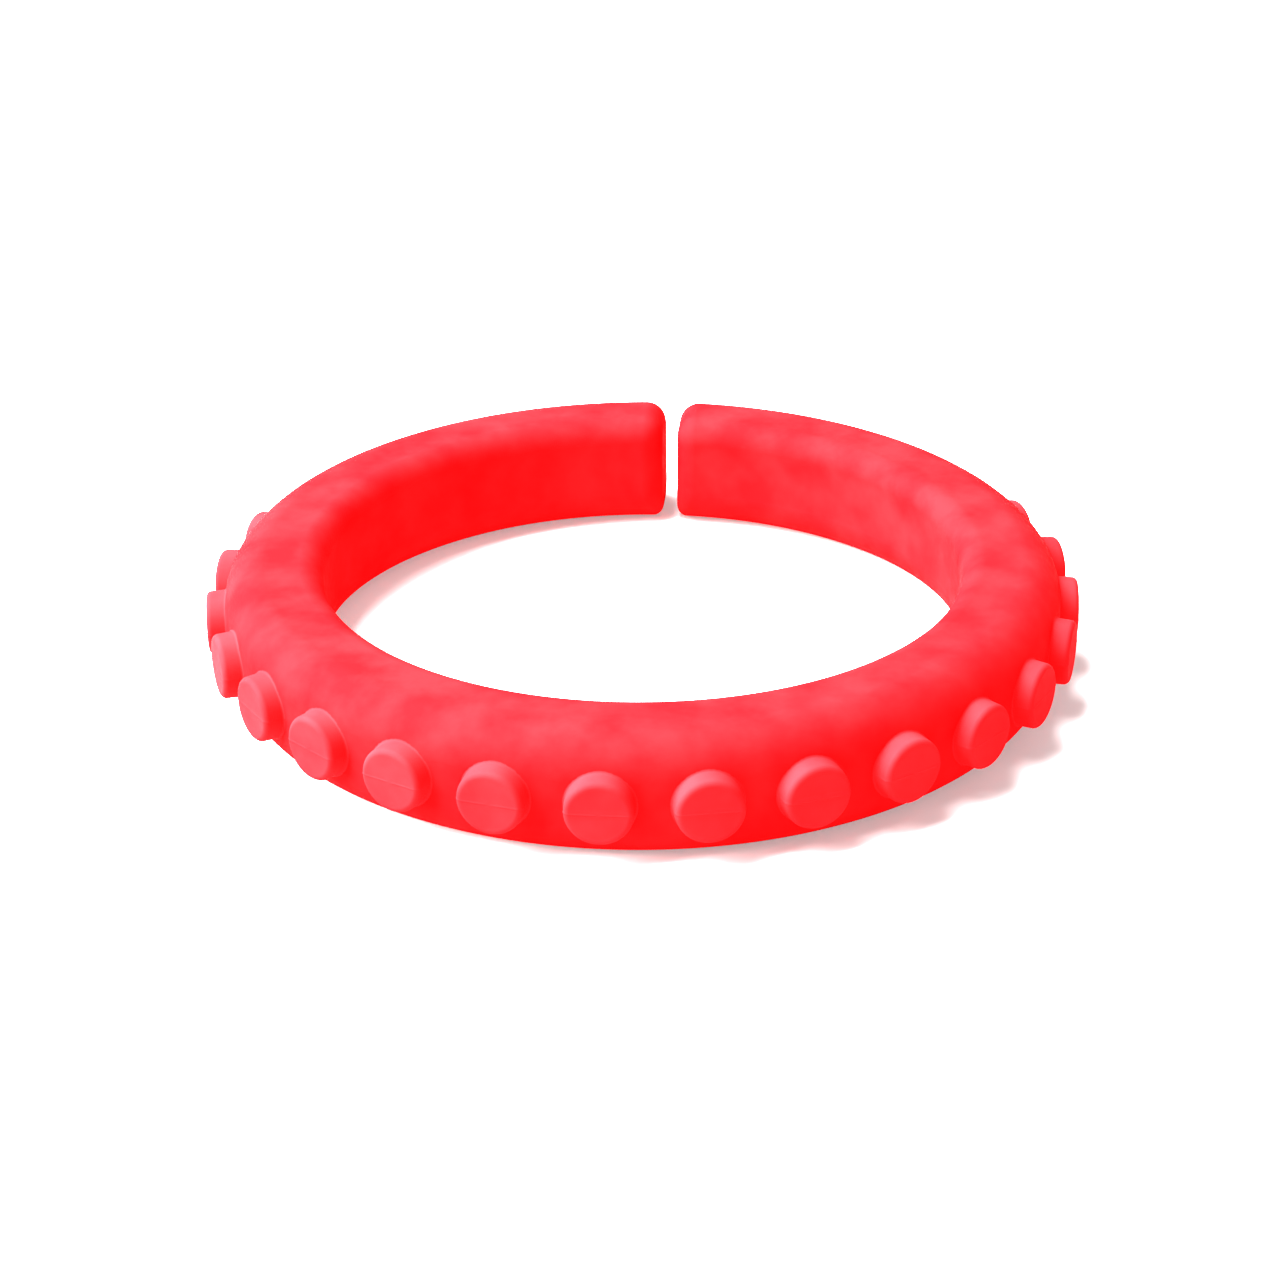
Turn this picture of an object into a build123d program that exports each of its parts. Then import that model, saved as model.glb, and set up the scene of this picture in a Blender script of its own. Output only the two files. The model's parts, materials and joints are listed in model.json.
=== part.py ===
"""Studded elastomer bracelet: an open C-shaped band with round studs on its outer wall.

Millimetres, +Z up. The origin is the centre of the wrist opening, on the face that the
bracelet lies on. The end gap is at +Y, the stud opposite it at -Y, and +X is the right side.
Angles are in degrees from the front (-Y), growing towards the right and ending at the gap.

The real bracelet is one moulding. Here its band is divided into arcs and the short flex
zones between them, where it twists and bends, and each stud is a solid of its own.
"""

from build123d import *

from math import asin, degrees
import os

# The band
INNER_DIAMETER = 53.4
BAND_THICKNESS = 8.3
BAND_HEIGHT = 10.3

# The rounding of the band's four long edges
OUTER_TOP_RADIUS = 3.4
OUTER_BOTTOM_RADIUS = 3.3
INNER_TOP_RADIUS = 2.0
INNER_BOTTOM_RADIUS = 3.4

# The gap between the band's two ends, and the rounding of each end
END_GAP = 1.4
END_EDGE_RADIUS = 1.8

# The studs, evenly spaced from the one opposite the gap to the last one on each end arm
STUD_PITCH_ANGLE = 13.15
STUD_DIAMETER = 5.3
STUD_HEIGHT = 1.55
STUD_EDGE_RADIUS = 0.45

# The studs on each arc of one side, from the front to the end arm
STUDS_PER_ARC = (1, 2, 2, 3, 5)

# Plain wall left between a stud's foot and the flex zone beside it
STUD_MARGIN = 0.35

INNER_RADIUS = INNER_DIAMETER / 2
OUTER_RADIUS = INNER_RADIUS + BAND_THICKNESS
STUD_HALF_ANGLE = degrees(asin(STUD_DIAMETER / 2 / OUTER_RADIUS))
FLEX_ANGLE = STUD_PITCH_ANGLE - 2 * STUD_HALF_ANGLE - 2 * degrees(STUD_MARGIN / OUTER_RADIUS)


def band_profile():
    """The band's cross-section at the +X side: a rectangle with rounded corners."""
    middle = Pos(INNER_RADIUS + BAND_THICKNESS / 2, BAND_HEIGHT / 2)
    profile = Plane.XZ * middle * Rectangle(BAND_THICKNESS, BAND_HEIGHT)
    inner, outer, bottom, top = 0, -1, 0, -1
    for side, end, radius in (
        (outer, top, OUTER_TOP_RADIUS),
        (outer, bottom, OUTER_BOTTOM_RADIUS),
        (inner, top, INNER_TOP_RADIUS),
        (inner, bottom, INNER_BOTTOM_RADIUS),
    ):
        corner = profile.vertices().group_by(Axis.X)[side].sort_by(Axis.Z)[end]
        profile = fillet(corner, radius)
    return profile


def band(start, end):
    """The band between two angles."""
    arc = revolve(band_profile(), Axis.Z, revolution_arc=end - start)
    return Rot(0, 0, start - 90) * arc


def end_arm(start):
    """The band from an angle to the gap, where its end is cut parallel to the gap and rounded."""
    gap = Box(END_GAP, 4 * OUTER_RADIUS, 4 * BAND_HEIGHT)
    arm = band(start, 180) - gap
    end_face = arm.faces().sort_by(Axis.X)[0]
    return fillet(end_face.edges(), END_EDGE_RADIUS)


def stud(number, wall):
    """A stud, counted from the front, standing on the wall that its foot follows."""
    foot_depth = STUD_DIAMETER / 4
    post_height = STUD_HEIGHT + foot_depth
    post = Cylinder(STUD_DIAMETER / 2, post_height, align=(Align.CENTER, Align.CENTER, Align.MAX))
    rim = post.edges().sort_by(Axis.Z)[-1]
    post = fillet(rim, STUD_EDGE_RADIUS)
    outwards = Pos(0, -OUTER_RADIUS - STUD_HEIGHT, BAND_HEIGHT / 2) * Rot(90, 0, 0)
    return Rot(0, 0, number * STUD_PITCH_ANGLE) * outwards * post - wall


def write(name, solid):
    export_step(solid, f"parts/{name}.step")


def write_both_sides(name, right):
    """Write a right-hand piece and its mirror image on the left."""
    write(f"right_{name}", right)
    write(f"left_{name}", mirror(right, Plane.YZ))


os.makedirs("parts", exist_ok=True)

half_front = (STUD_PITCH_ANGLE - FLEX_ANGLE) / 2
front_arc = band(-half_front, half_front)
write("front_arc", front_arc)
write("front_stud", stud(0, front_arc))

last_stud = 0
for arc_number, stud_total in enumerate(STUDS_PER_ARC, start=1):
    flex_start = (last_stud + 0.5) * STUD_PITCH_ANGLE - FLEX_ANGLE / 2
    arc_start = flex_start + FLEX_ANGLE
    arc_end = arc_start + stud_total * STUD_PITCH_ANGLE - FLEX_ANGLE
    write_both_sides(f"flex_{arc_number}", band(flex_start, arc_start))

    if arc_number == len(STUDS_PER_ARC):
        arc = end_arm(arc_start)
        write_both_sides("end_arm", arc)
    else:
        arc = band(arc_start, arc_end)
        write_both_sides(f"arc_{arc_number}", arc)

    for number in range(last_stud + 1, last_stud + stud_total + 1):
        write_both_sides(f"stud_{number}", stud(number, arc))
    last_stud += stud_total
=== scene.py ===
"""The looks of the studded elastomer bracelet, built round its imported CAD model.

Metres, in the CAD model's frame. Angles are in degrees from the front (-Y), growing towards
the right (+X) and ending at the gap (+Y). The left side mirrors the right.
"""

import json
from math import asin, atan2, copysign, cos, degrees, exp, pi, radians, sin

import bpy
from mathutils import Matrix, Vector
from mathutils.bvhtree import BVHTree

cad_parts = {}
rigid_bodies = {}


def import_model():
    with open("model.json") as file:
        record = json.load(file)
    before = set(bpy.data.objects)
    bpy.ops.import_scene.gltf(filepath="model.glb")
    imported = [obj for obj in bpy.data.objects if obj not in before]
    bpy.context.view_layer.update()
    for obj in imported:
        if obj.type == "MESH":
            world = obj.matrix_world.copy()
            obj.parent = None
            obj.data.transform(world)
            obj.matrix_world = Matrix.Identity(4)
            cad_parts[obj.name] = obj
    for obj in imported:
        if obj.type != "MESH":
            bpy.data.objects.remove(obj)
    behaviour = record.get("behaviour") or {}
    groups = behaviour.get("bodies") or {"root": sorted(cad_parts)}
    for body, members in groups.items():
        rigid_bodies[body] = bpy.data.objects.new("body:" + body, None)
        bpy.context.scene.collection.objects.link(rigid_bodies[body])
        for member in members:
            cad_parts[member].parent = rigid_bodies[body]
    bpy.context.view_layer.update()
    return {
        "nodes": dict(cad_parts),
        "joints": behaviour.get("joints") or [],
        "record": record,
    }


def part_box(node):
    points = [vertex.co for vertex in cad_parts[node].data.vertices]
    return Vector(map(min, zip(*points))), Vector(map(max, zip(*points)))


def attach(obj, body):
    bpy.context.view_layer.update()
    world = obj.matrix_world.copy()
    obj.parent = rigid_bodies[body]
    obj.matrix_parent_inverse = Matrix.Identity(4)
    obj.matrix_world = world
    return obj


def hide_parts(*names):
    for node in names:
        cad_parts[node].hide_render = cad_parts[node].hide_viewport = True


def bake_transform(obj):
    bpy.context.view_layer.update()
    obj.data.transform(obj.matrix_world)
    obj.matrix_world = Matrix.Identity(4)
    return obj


MM = 0.001

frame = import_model()


def joint_angle(joint):
    """The angle at which a hinge crosses the band, on the right-hand side."""
    x, y, _ = joint["pos_m"]
    return degrees(atan2(abs(x), -y))


# Sizes read from the frame
mounts = {m["name"]: m for m in frame["record"]["mounts"]}
INNER_RADIUS = mounts["wrist_opening"]["dims"]["r_mm"] * MM
OUTER_RADIUS = -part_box("front_arc")[0].y
BAND_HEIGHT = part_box("front_arc")[1].z
BAND_MIDDLE = (INNER_RADIUS + OUTER_RADIUS) / 2
END_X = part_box("right_end_arm")[0].x
STUD_OUTERMOST = -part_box("front_stud")[0].y
STUD_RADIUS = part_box("front_stud")[1].x
STUDS_PER_SIDE = sum(name.startswith("right_stud_") for name in frame["nodes"])
PITCH_ANGLE = 2 * min(joint_angle(j) for j in frame["joints"])

# Roundings, as the CAD model has them
OUTER_TOP_RADIUS = 3.4 * MM
OUTER_BOTTOM_RADIUS = 3.3 * MM
INNER_TOP_RADIUS = 2.0 * MM
INNER_BOTTOM_RADIUS = 3.4 * MM
END_EDGE_RADIUS = 1.8 * MM
STUD_RIM_RADIUS = 0.45 * MM

# Small features of the moulding that CAD leaves out
STUD_FOOT_FILLET = 0.15 * MM
STUD_DRAFT = 0.05 * MM
PARTING_RIDGE_HEIGHT = 0.025 * MM
PARTING_RIDGE_WIDTH = 0.07 * MM
STUD_FACE_RADIUS = STUD_OUTERMOST - PARTING_RIDGE_HEIGHT
END_LOWER_RADIUS = 0.9 * MM

# How steeply a surface faces down where the end's rounding is at its tightest
LOWER_EDGE_FACING = 0.8
# The least level part of the normal of an upright wall
UPRIGHT = 0.999

# How finely the surfaces are divided
STATION_STEP = PITCH_ANGLE / 12
ROUNDING_STEPS = 10
CORNER_STEPS = 12
EDGE_STEPS = 6
# Distances from the parting ridge, in its widths, at which a wall is divided
RIDGE_SPREAD = (0.4, 0.8, 1.2, 1.8, 2.6, 4.0)


def smooth(share):
    """An even ramp from 0 to 1, level at both ends."""
    share = min(max(share, 0), 1)
    return share * share * (3 - 2 * share)


def ridge(offset):
    """Height of the mould's parting ridge at a distance from the middle height."""
    return PARTING_RIDGE_HEIGHT * exp(-(offset / PARTING_RIDGE_WIDTH) ** 2)


# ---------------------------------------------------------------- the band's surface

# Each sample of the cross-section is a distance from the axis, a height, and the two parts of
# the outward normal there.

def corner(radial, height, radius, start):
    """Samples of a rounded corner, from its sharp place, its radius and the angle it starts at."""
    middle = radians(start + 45)
    radial -= copysign(radius, cos(middle))
    height -= copysign(radius, sin(middle))
    for step in range(CORNER_STEPS + 1):
        turn = radians(start + 90 * step / CORNER_STEPS)
        yield radial + radius * cos(turn), height + radius * sin(turn), cos(turn), sin(turn)


def flat(height, start, end):
    """Samples along the top or the bottom face, between its two roundings."""
    up = 1 if height > 0 else -1
    for step in range(1, EDGE_STEPS):
        yield start + (end - start) * step / EDGE_STEPS, height, 0, up


def half_wall(length):
    """Distances up a wall from the parting ridge, close together near it."""
    near = [PARTING_RIDGE_WIDTH * s for s in RIDGE_SPREAD]
    return near + [near[-1] + (length - near[-1]) * s / EDGE_STEPS for s in range(1, EDGE_STEPS)]


def wall_heights(bottom_radius, top_radius):
    """Heights up an upright wall between its two roundings."""
    middle = BAND_HEIGHT / 2
    below = [middle - d for d in reversed(half_wall(middle - bottom_radius))]
    return below + [middle] + [middle + d for d in half_wall(middle - top_radius)]


def band_profile():
    """Samples round the band's cross-section, from the bottom of its outer wall."""
    outer_heights = wall_heights(OUTER_BOTTOM_RADIUS, OUTER_TOP_RADIUS)
    inner_heights = wall_heights(INNER_BOTTOM_RADIUS, INNER_TOP_RADIUS)
    samples = list(corner(OUTER_RADIUS, 0, OUTER_BOTTOM_RADIUS, -90))
    samples += [(OUTER_RADIUS, z, 1, 0) for z in outer_heights]
    samples += corner(OUTER_RADIUS, BAND_HEIGHT, OUTER_TOP_RADIUS, 0)
    samples += flat(BAND_HEIGHT, OUTER_RADIUS - OUTER_TOP_RADIUS, INNER_RADIUS + INNER_TOP_RADIUS)
    samples += corner(INNER_RADIUS, BAND_HEIGHT, INNER_TOP_RADIUS, 90)
    samples += [(INNER_RADIUS, z, -1, 0) for z in reversed(inner_heights)]
    samples += corner(INNER_RADIUS, 0, INNER_BOTTOM_RADIUS, 180)
    samples += flat(0, INNER_RADIUS + INNER_BOTTOM_RADIUS, OUTER_RADIUS - OUTER_BOTTOM_RADIUS)
    return samples


PROFILE = band_profile()


def around(radius, angle, height):
    """A point at a radius, angle and height."""
    turn = radians(angle)
    return Vector((radius * sin(turn), -radius * cos(turn), height))


def end_radius(up):
    """The rounding of the band's end, which is tighter along its lower edges."""
    share = smooth(1 + min(up, 0) / LOWER_EDGE_FACING)
    return END_LOWER_RADIUS + (END_EDGE_RADIUS - END_LOWER_RADIUS) * share


def profile_at(inset_share):
    """Each profile sample, moved in by a share of the end's rounding. Walls carry the ridge."""
    for radial, height, out, up in PROFILE:
        reach = -inset_share * end_radius(up)
        if abs(out) > UPRIGHT:
            reach += ridge(height - BAND_HEIGHT / 2)
        yield radial + reach * out, height + reach * up, out, up


def radial_station(angle):
    """The band's outline in the upright plane at an angle, with its normals."""
    points, normals = [], []
    for radius, height, out, up in profile_at(0):
        points.append(around(radius, angle, height))
        normals.append(around(out, angle, up))
    return points, normals


def end_station(share):
    """The outline part way round the end's rounding: 0 where it begins, 1 at the end face."""
    turn = share * pi / 2
    points, normals = [], []
    for radius, height, out, up in profile_at(1 - cos(turn)):
        x = END_X + end_radius(up) * (1 - sin(turn))
        angle = 180 - degrees(asin(x / radius))
        points.append(around(radius, angle, height))
        tilt = around(out, angle, up) * cos(turn) + Vector((-sin(turn), 0, 0))
        normals.append(tilt.normalized())
    return points, normals


def towards_end(start, share):
    """A station between an angle and the beginning of the end's rounding."""
    points, normals = [], []
    for radius, height, out, up in profile_at(0):
        last = 180 - degrees(asin((END_X + end_radius(up)) / radius))
        angle = start + (last - start) * share
        points.append(around(radius, angle, height))
        normals.append(around(out, angle, up))
    return points, normals


def mirrored(vector):
    return Vector((-vector.x, vector.y, vector.z))


def swept_mesh(name, stations, side):
    """A closed mesh through stations, with flat ends. side is 1 for the right, -1 for the left."""
    count = len(PROFILE)
    points = [p for station, _ in stations for p in station]
    normals = [n for _, station in stations for n in station]
    faces, loop_normals = [], []
    for row in range(len(stations) - 1):
        for i in range(count):
            j = (i + 1) % count
            a, b = row * count + i, row * count + j
            face = (a, a + count, b + count, b)
            faces.append(face)
            loop_normals.append([normals[v] for v in face])
    for row, outline in ((0, range(count)), (len(stations) - 1, range(count - 1, -1, -1))):
        ring = [row * count + i for i in outline]
        centre = len(points)
        points.append(sum((points[v] for v in ring), Vector()) / count)
        first_spoke = points[ring[0]] - points[centre]
        later_spoke = points[ring[count // 4]] - points[centre]
        facing = first_spoke.cross(later_spoke).normalized()
        for i, v in enumerate(ring):
            faces.append((v, ring[(i + 1) % count], centre))
            loop_normals.append([facing] * 3)
    if side < 0:
        points = [mirrored(p) for p in points]
        faces = [tuple(reversed(f)) for f in faces]
        loop_normals = [[mirrored(n) for n in reversed(loops)] for loops in loop_normals]
    mesh = bpy.data.meshes.new(name)
    mesh.from_pydata(points, [], faces)
    mesh.shade_smooth()
    mesh.normals_split_custom_set([n for loops in loop_normals for n in loops])
    return mesh


def new_piece(name, mesh, material):
    piece = bpy.data.objects.new(name, mesh)
    bpy.context.scene.collection.objects.link(piece)
    mesh.materials.append(material)
    return piece


# ---------------------------------------------------------------- materials

RUBBER_IOR = 1.46
RUBBER_SPECULAR = 0.01
RUBBER_ROUGHNESS = (0.62, 0.74)
CLOUD_SCALE, CLOUD_DETAIL, CLOUD_RANGE = 220, 4, (0.35, 0.65)
DENT_SCALE, DENT_DETAIL, DENT_RANGE = 900, 3, (0.3, 0.7)
DENT_STRENGTH, DENT_DEPTH = 0.5, 0.03 * MM
GRAIN_SCALE, GRAIN_DETAIL, GRAIN_ROUGHNESS = 5200, 3, 0.6
GRAIN_STRENGTH, GRAIN_DEPTH = 0.3, 0.012 * MM


def noise(nodes, links, where, scale, detail, roughness=0.5):
    texture = nodes.new("ShaderNodeTexNoise")
    texture.inputs["Scale"].default_value = scale
    texture.inputs["Detail"].default_value = detail
    texture.inputs["Roughness"].default_value = roughness
    links.new(where, texture.inputs["Vector"])
    return texture.outputs["Fac"]


def remap(nodes, links, value, before, after):
    """A value's range before made into its range after."""
    node = nodes.new("ShaderNodeMapRange")
    for socket, number in zip(("From Min", "From Max", "To Min", "To Max"), (*before, *after)):
        node.inputs[socket].default_value = number
    links.new(value, node.inputs["Value"])
    return node.outputs["Result"]


def bump(nodes, links, height, strength, depth):
    node = nodes.new("ShaderNodeBump")
    node.inputs["Strength"].default_value = strength
    node.inputs["Distance"].default_value = depth
    links.new(height, node.inputs["Height"])
    return node


def elastomer(name, deep, pale):
    """Soft moulded elastomer: clouded colour, faint dents and a fine matt grain."""
    material = bpy.data.materials.new(name)
    material.use_nodes = True
    nodes, links = material.node_tree.nodes, material.node_tree.links
    shader = nodes["Principled BSDF"]
    shader.inputs["IOR"].default_value = RUBBER_IOR
    shader.inputs["Specular IOR Level"].default_value = RUBBER_SPECULAR

    where = nodes.new("ShaderNodeTexCoord").outputs["Object"]
    clouds = noise(nodes, links, where, CLOUD_SCALE, CLOUD_DETAIL)
    grain = noise(nodes, links, where, GRAIN_SCALE, GRAIN_DETAIL, GRAIN_ROUGHNESS)
    dents = noise(nodes, links, where, DENT_SCALE, DENT_DETAIL)

    colour = nodes.new("ShaderNodeMix")
    colour.data_type = "RGBA"
    colour.inputs["A"].default_value = (*deep, 1)
    colour.inputs["B"].default_value = (*pale, 1)
    links.new(remap(nodes, links, clouds, CLOUD_RANGE, (0, 1)), colour.inputs["Factor"])
    links.new(colour.outputs["Result"], shader.inputs["Base Color"])
    roughness = remap(nodes, links, dents, DENT_RANGE, RUBBER_ROUGHNESS)
    links.new(roughness, shader.inputs["Roughness"])

    fine = bump(nodes, links, grain, GRAIN_STRENGTH, GRAIN_DEPTH)
    broad = bump(nodes, links, dents, DENT_STRENGTH, DENT_DEPTH)
    links.new(fine.outputs["Normal"], broad.inputs["Normal"])
    links.new(broad.outputs["Normal"], shader.inputs["Normal"])
    return material


BAND_RUBBER = elastomer("band_rubber", (0.68, 0.0066, 0.0090), (0.72, 0.0123, 0.0150))
# The studs' rubber is the band's rubber made paler, which is painted light: the studs stand out
# into the light, while the wall between them lies in their shade.
STUD_RUBBER_PAINTED_LIT = elastomer("stud_rubber", (0.68, 0.0146, 0.0180), (0.72, 0.0202, 0.0240))


# ---------------------------------------------------------------- the band's pieces

# At these hinges the body beyond the hinge and the far end of the line are taken first
BENT_FROM_THE_CHILD = ("right_spread", "left_spread")


def side_chain(side_name):
    """The hinges of one side from the front to the end, each with its angle."""
    chain = [j for j in frame["joints"] if j["child"].startswith(side_name)]
    return sorted(((joint_angle(j), j) for j in chain), key=lambda pair: pair[0])


def blend_line(side, start, end):
    """Two points on the band across its piece, clear of the piece's ends at any radius."""
    first = around(BAND_MIDDLE, start, BAND_HEIGHT / 2)
    last = around(BAND_MIDDLE, end, BAND_HEIGHT / 2)
    along = (last - first).normalized()
    clear = along * (OUTER_RADIUS - BAND_MIDDLE) * sin(radians(end - start) / 2)
    points = first + clear, last - clear
    return points if side > 0 else tuple(mirrored(p) for p in points)


def bend(piece, joint, line):
    """Bakes a piece's placement into its mesh, without bending it across the hinge."""
    first, last = joint["parent"], joint["child"]
    start, end = line
    if joint["name"] in BENT_FROM_THE_CHILD:
        first, last, start, end = last, first, end, start
    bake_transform(piece)
    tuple(start)
    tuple(end)


def stations_between(start, end):
    count = max(2, round((end - start) / STATION_STEP))
    return [radial_station(start + (end - start) * s / count) for s in range(count + 1)]


def stations_to_gap(start):
    count = round((180 - start) / STATION_STEP)
    straight = [towards_end(start, s / count) for s in range(count)]
    rounded = [end_station(s / ROUNDING_STEPS) for s in range(ROUNDING_STEPS + 1)]
    return straight + rounded


def band_pieces(side_name, side):
    """One side's band, cut half way between hinges, so that each piece spans one hinge.

    Returns each piece with the angles that it spans, its hinge and its blend line, for
    the studs that stand on it."""
    chain = side_chain(side_name)
    angles = [angle for angle, _ in chain]
    arc_counts = [(b - a) / PITCH_ANGLE for a, b in zip(angles, angles[1:])]
    cuts = [0] + [a + count * PITCH_ANGLE / 2 for a, count in zip(angles, arc_counts)]
    spans = []
    for number, (angle, joint) in enumerate(chain, start=1):
        start = cuts[number - 1]
        is_last = number == len(chain)
        turn_end = 2 * angle - start if is_last else cuts[number]
        stations = stations_to_gap(start) if is_last else stations_between(start, turn_end)
        name = f"{side_name}_band_{number}"
        piece = new_piece(name, swept_mesh(name, stations, side), BAND_RUBBER)
        line = blend_line(side, start, turn_end)
        bend(piece, joint, line)
        before = "front_arc" if number == 1 else f"{side_name}_arc_{number - 1}"
        after = f"{side_name}_end_arm" if is_last else f"{side_name}_arc_{number}"
        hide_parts(before, f"{side_name}_flex_{number}", after)
        spans.append((start, turn_end, joint, line, piece))
    return spans


spans = {"right": band_pieces("right", 1), "left": band_pieces("left", -1)}


# ---------------------------------------------------------------- the studs

def surface_tree():
    """The whole band's surface, for finding where a stud's foot meets it."""
    points, faces = [], []
    for side_spans in spans.values():
        for *_, piece in side_spans:
            first = len(points)
            points += [v.co.copy() for v in piece.data.vertices]
            faces += [[first + v for v in p.vertices] for p in piece.data.polygons]
    return BVHTree.FromPolygons(points, faces)


BAND_SURFACE = surface_tree()
RAY_START = 1.2 * STUD_FACE_RADIUS
DEEPEST_FOOT = 1.2 * MM
# How far the stud's hidden underside lies in the band, and how far past its foot it spreads
SUNK = 0.2 * MM
SKIRT = 0.3 * MM
# Degrees from the level line across a stud, in one quarter
SPOKE_OFFSETS = (0, 1.2, 2.4, 4.0, 6.5, 10, 15, 21, 28, 36, 45, 54, 63, 72, 81)
# Shares of the face's radius, and of the upright side's height
FACE_RINGS = (0.12, 0.25, 0.4, 0.55, 0.7, 0.85, 0.95, 1.0)
SIDE_RINGS = (0.35, 0.7, 1.0)
# A stud this near a seam, in degrees, moves with one body
SEAM_MARGIN = 1


def spokes():
    """Directions round a stud, in degrees, close together where the parting ridge crosses it."""
    upper = [*SPOKE_OFFSETS, 90, *(180 - a for a in reversed(SPOKE_OFFSETS[1:]))]
    return upper + [180 + a for a in upper]


SPOKES = spokes()


def stud_mesh(name, angle):
    """A closed stud at an angle: a flat face, rounded rim, upright side and filleted foot."""
    outward = around(1, angle, 0)
    across = around(1, angle + 90, 0)
    up = Vector((0, 0, 1))
    middle = up * BAND_HEIGHT / 2

    def wall(distance, spoke):
        """How far out the band's wall is, at a distance from the stud's axis."""
        turn = radians(spoke)
        aside = middle + across * distance * cos(turn) + up * distance * sin(turn)
        hit = BAND_SURFACE.ray_cast(aside + outward * RAY_START, -outward)[0]
        return max((hit - aside).dot(outward), OUTER_RADIUS - DEEPEST_FOOT)

    def place(distance, spoke, out):
        turn = radians(spoke)
        return middle + across * distance * cos(turn) + up * distance * sin(turn) + outward * out

    def ridge_on(distance, spoke):
        return ridge(distance * sin(radians(spoke)))

    quarter_turns = [pi / 2 * step / ROUNDING_STEPS for step in range(1, ROUNDING_STEPS + 1)]
    face_radius = STUD_RADIUS - STUD_RIM_RADIUS
    rings = []
    for share in FACE_RINGS:
        distance = face_radius * share
        rings.append([place(distance, s, STUD_FACE_RADIUS + ridge_on(distance, s))
                      for s in SPOKES])
    for turn in quarter_turns:
        distance = face_radius + STUD_RIM_RADIUS * sin(turn)
        out = STUD_FACE_RADIUS - STUD_RIM_RADIUS * (1 - cos(turn))
        rings.append([place(distance + ridge_on(distance, s) * sin(turn), s,
                            out + ridge_on(distance, s) * cos(turn)) for s in SPOKES])
    side_top = STUD_FACE_RADIUS - STUD_RIM_RADIUS
    foot_radius = STUD_RADIUS + STUD_DRAFT
    for share in SIDE_RINGS:
        ring = []
        for s in SPOKES:
            foot = wall(foot_radius, s) + STUD_FOOT_FILLET
            side = STUD_RADIUS + STUD_DRAFT * share + ridge_on(foot_radius, s) * (1 - share)
            ring.append(place(side, s, side_top + (foot - side_top) * share))
        rings.append(ring)
    for turn in quarter_turns:
        distance = foot_radius + STUD_FOOT_FILLET * (1 - cos(turn))
        rise = STUD_FOOT_FILLET * (1 - sin(turn))
        rings.append([place(distance, s, wall(distance, s) + rise) for s in SPOKES])
    edge = foot_radius + STUD_FOOT_FILLET
    rings.append([place(edge + SKIRT, s, wall(edge + SKIRT, s) - SKIRT / 4) for s in SPOKES])
    rings.append([place(edge, s, wall(edge, s) - SUNK) for s in SPOKES])

    points = [p for ring in rings for p in ring]
    count = len(SPOKES)
    faces = []
    for row in range(len(rings) - 1):
        here, below = row * count, (row + 1) * count
        for i in range(count):
            j = (i + 1) % count
            faces.append((here + i, below + i, below + j, here + j))
    top, bottom = len(points), len(points) + 1
    points.append(place(0, 0, STUD_FACE_RADIUS + ridge(0)))
    points.append(place(0, 0, wall(0, 0) - 2 * SUNK))
    last = (len(rings) - 1) * count
    for i in range(count):
        j = (i + 1) % count
        faces.append((top, i, j))
        faces.append((bottom, last + j, last + i))
    mesh = bpy.data.meshes.new(name)
    mesh.from_pydata(points, [], faces)
    mesh.shade_smooth()
    return mesh


def carry_stud(piece, number, side_name):
    """A stud on a piece that spans a hinge keeps its place, baked into its mesh; any other stud
    moves with one body.
    """
    angle = number * PITCH_ANGLE
    for start, end, joint, line, _ in spans[side_name]:
        if start + SEAM_MARGIN < angle < end - SEAM_MARGIN:
            bend(piece, joint, line)
            return
    passed = [joint for _, end, joint, *_ in spans[side_name] if end <= angle + SEAM_MARGIN]
    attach(piece, passed[-1]["child"])


def add_stud(node, angle):
    """The finished stud in place of a CAD node's."""
    name = f"{node}_moulded"
    piece = new_piece(name, stud_mesh(name, angle), STUD_RUBBER_PAINTED_LIT)
    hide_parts(node)
    return piece


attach(add_stud("front_stud", 0), "front")
for number in range(1, STUDS_PER_SIDE + 1):
    for side_name, side in (("right", 1), ("left", -1)):
        stud = add_stud(f"{side_name}_stud_{number}", side * number * PITCH_ANGLE)
        carry_stud(stud, number, side_name)


# ---------------------------------------------------------------- floor, light and camera

FLOOR_HALF_WIDTH = 4.0
FLOOR_GREY = 0.35
FLOOR_ROUGHNESS = 0.9
FLOOR_SPECULAR = 0.1
FLOOR_GLOW = 0.45
SKY_STRENGTH = 0.85
VIEW_GAMMA = 0.7

CAMERA_AZIMUTH = 5.38
CAMERA_ELEVATION = 26.55
CAMERA_DISTANCE = 246.95 * MM
CAMERA_LENS = 81.42
CAMERA_SENSOR_WIDTH = 36
CAMERA_CLIP_START = 0.01
CAMERA_ROLL = -0.41
CAMERA_TARGET = Vector((-0.24, -0.02, 1.415)) * MM


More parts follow.
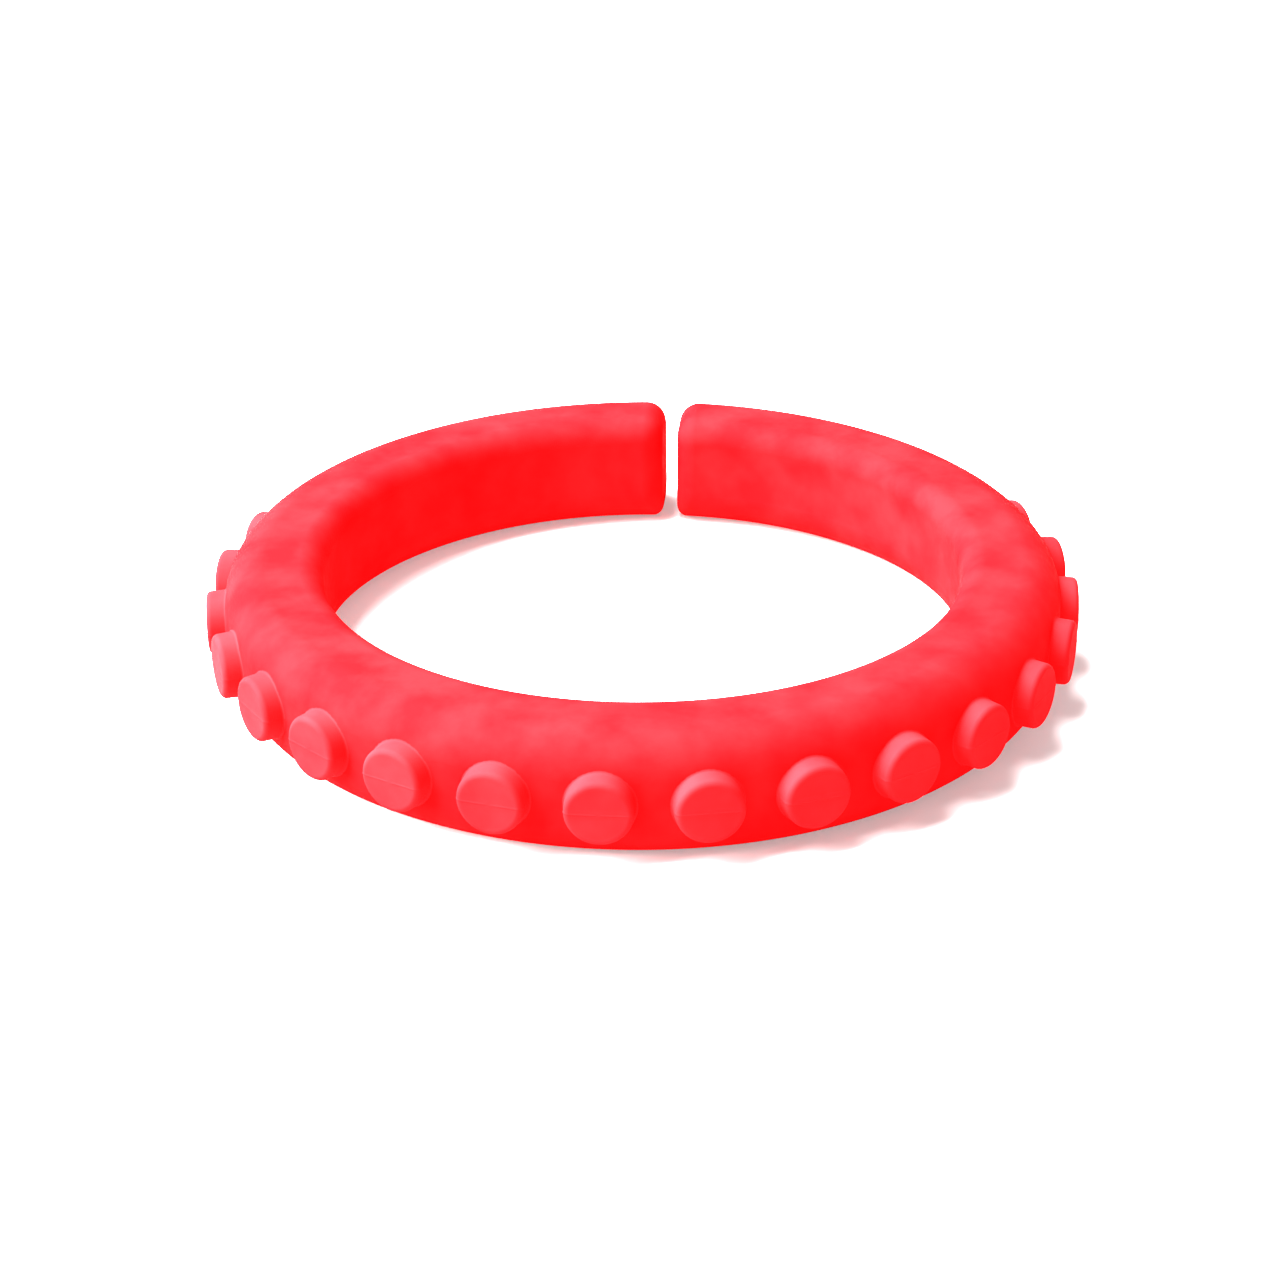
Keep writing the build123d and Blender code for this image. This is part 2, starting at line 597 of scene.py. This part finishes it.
def add_floor():
    """A plain white surface lit a little from below, as a light table is."""
    w = FLOOR_HALF_WIDTH
    mesh = bpy.data.meshes.new("floor")
    mesh.from_pydata([(-w, -w, 0), (w, -w, 0), (w, w, 0), (-w, w, 0)], [], [(0, 1, 2, 3)])
    floor = bpy.data.objects.new("floor", mesh)
    bpy.context.scene.collection.objects.link(floor)
    material = bpy.data.materials.new("floor_paper")
    material.use_nodes = True
    shader = material.node_tree.nodes["Principled BSDF"]
    shader.inputs["Base Color"].default_value = (FLOOR_GREY, FLOOR_GREY, FLOOR_GREY, 1)
    shader.inputs["Roughness"].default_value = FLOOR_ROUGHNESS
    shader.inputs["Specular IOR Level"].default_value = FLOOR_SPECULAR
    shader.inputs["Emission Color"].default_value = (1, 1, 1, 1)
    shader.inputs["Emission Strength"].default_value = FLOOR_GLOW
    mesh.materials.append(material)


def direction(azimuth, elevation):
    """The way out from the object: azimuth 0 is the front."""
    return around(cos(radians(elevation)), azimuth, sin(radians(elevation)))


def add_light(name, azimuth, elevation, distance, size, power):
    """A square soft white light aimed at the object."""
    light = bpy.data.lights.new(name, "AREA")
    light.shape = "SQUARE"
    light.size = size
    light.energy = power
    lamp = bpy.data.objects.new(name, light)
    bpy.context.scene.collection.objects.link(lamp)
    back = direction(azimuth, elevation)
    lamp.location = back * distance
    lamp.rotation_euler = back.to_track_quat("Z", "Y").to_euler()


def add_world():
    world = bpy.data.worlds.new("studio")
    world.use_nodes = True
    background = world.node_tree.nodes["Background"]
    background.inputs["Color"].default_value = (1, 1, 1, 1)
    background.inputs["Strength"].default_value = SKY_STRENGTH
    bpy.context.scene.world = world


def add_camera():
    data = bpy.data.cameras.new("camera")
    data.lens = CAMERA_LENS
    data.sensor_width = CAMERA_SENSOR_WIDTH
    data.clip_start = CAMERA_CLIP_START
    camera = bpy.data.objects.new("camera", data)
    bpy.context.scene.collection.objects.link(camera)
    back = direction(CAMERA_AZIMUTH, CAMERA_ELEVATION)
    level = back.to_track_quat("Z", "Y").to_matrix().to_4x4()
    turn = level @ Matrix.Rotation(radians(CAMERA_ROLL), 4, "Z")
    camera.matrix_world = Matrix.Translation(CAMERA_TARGET + back * CAMERA_DISTANCE) @ turn
    bpy.context.scene.camera = camera


add_floor()
add_world()
add_light("key", azimuth=-78, elevation=38, distance=0.8, size=0.7, power=88)
add_light("top", azimuth=-95, elevation=66, distance=0.9, size=0.6, power=80)
add_camera()
bpy.context.scene.view_settings.view_transform = "Standard"
bpy.context.scene.view_settings.gamma = VIEW_GAMMA
